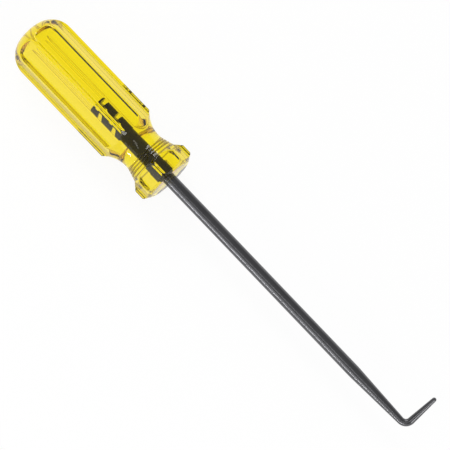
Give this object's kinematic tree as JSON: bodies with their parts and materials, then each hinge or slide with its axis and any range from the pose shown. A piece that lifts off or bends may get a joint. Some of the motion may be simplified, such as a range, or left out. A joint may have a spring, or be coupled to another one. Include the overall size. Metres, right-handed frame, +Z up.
{
  "type": "o ring pick",
  "caption": "Hooked O-ring pick: clear amber fluted handle with a turned neck and collar, and a round black steel shank that tapers to a right-angle hook for lifting seals.",
  "frame": {"origin": "middle of the bottom of the lying tool's box, on the surface that it rests on", "axes": "+X from the butt to the hook along the tool's axis, +Z up, with a flute of the handle facing straight down and the hook on the +Y side, raised above the level"},
  "size_m": [0.2636, 0.0326, 0.0295],
  "materials": {
    "amber_plastic": "polished clear amber cellulose plastic",
    "black_steel": "black oxide, satin"
  },
  "bodies": {
    "root": {"handle": "amber_plastic", "pick_shank": "black_steel"}
  },
  "joints": []
}
